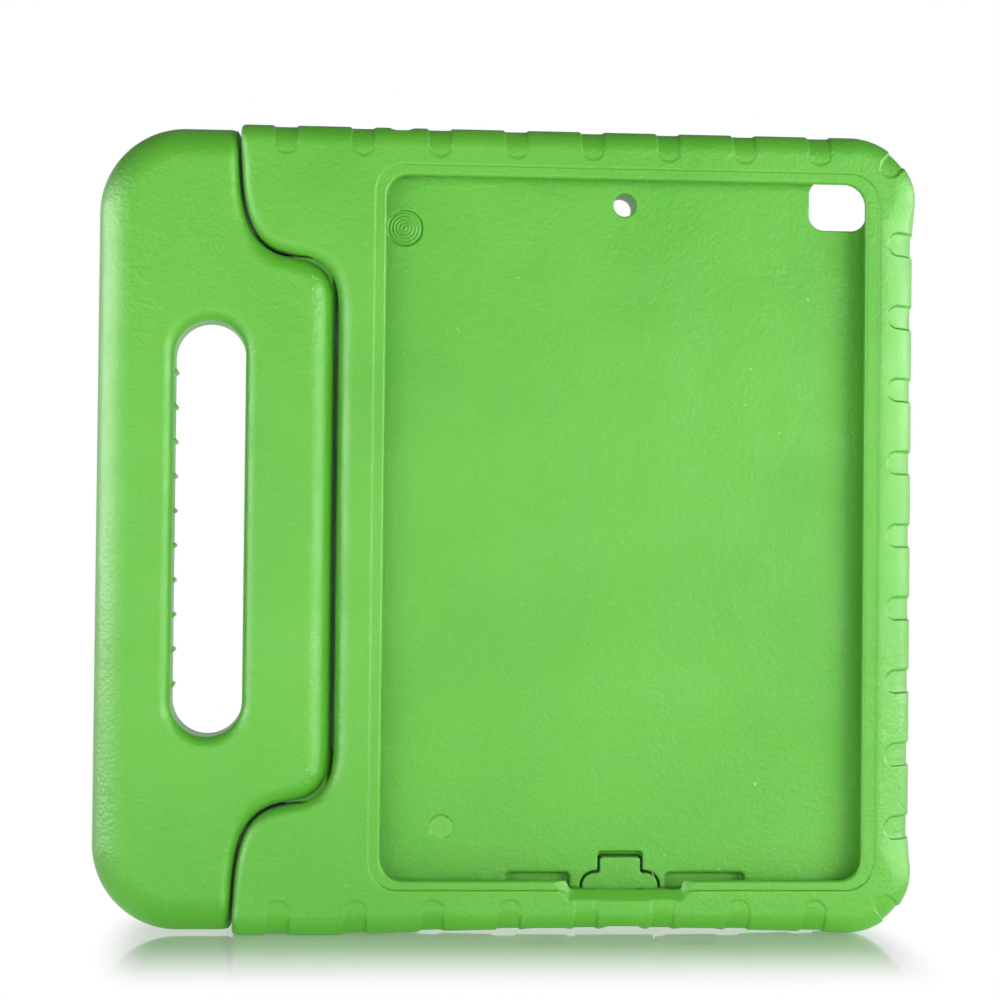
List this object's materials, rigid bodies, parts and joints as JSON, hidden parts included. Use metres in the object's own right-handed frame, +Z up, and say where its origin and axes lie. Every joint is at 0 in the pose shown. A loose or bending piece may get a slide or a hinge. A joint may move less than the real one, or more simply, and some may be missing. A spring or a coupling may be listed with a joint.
{
  "type": "kids tablet case",
  "caption": "Upright foam tablet bumper case with a hinged carry handle that folds back as a stand, a camera hole and a foam flap over the port.",
  "frame": {"origin": "middle of the whole case's footprint, on the plane of its lower edge", "axes": "+Z up with the case standing on its lower edge, -Y out of the open front that the screen faces through, +X towards the side away from the carry handle"},
  "size_m": [0.2872, 0.028, 0.281],
  "materials": {
    "green_foam": "satin closed-cell foam",
    "green_foam_handle": "satin closed-cell foam",
    "green_foam_flap": "satin closed-cell foam",
    "grey_plastic": "matte"
  },
  "bodies": {
    "case": {"case_body": "green_foam", "upper_hinge_pin": "grey_plastic", "lower_hinge_pin": "grey_plastic"},
    "handle": {"carry_handle": "green_foam_handle"},
    "flap": {"port_cover_flap": "green_foam_flap"}
  },
  "joints": [
    {"name": "handle_hinge", "type": "hinge", "parent": "case", "child": "handle", "pos_m": [-0.0748, 0, 0.1405], "axis": [0, 0, -1], "range_deg": [0, 80]},
    {"name": "flap_hinge", "type": "hinge", "parent": "case", "child": "flap", "pos_m": [0.0406, 0.01315, 0.0274], "axis": [1, 0, 0], "range_deg": [0, 100], "stiffness_Nm_per_rad": 0.003, "springref_deg": -8.59}
  ]
}
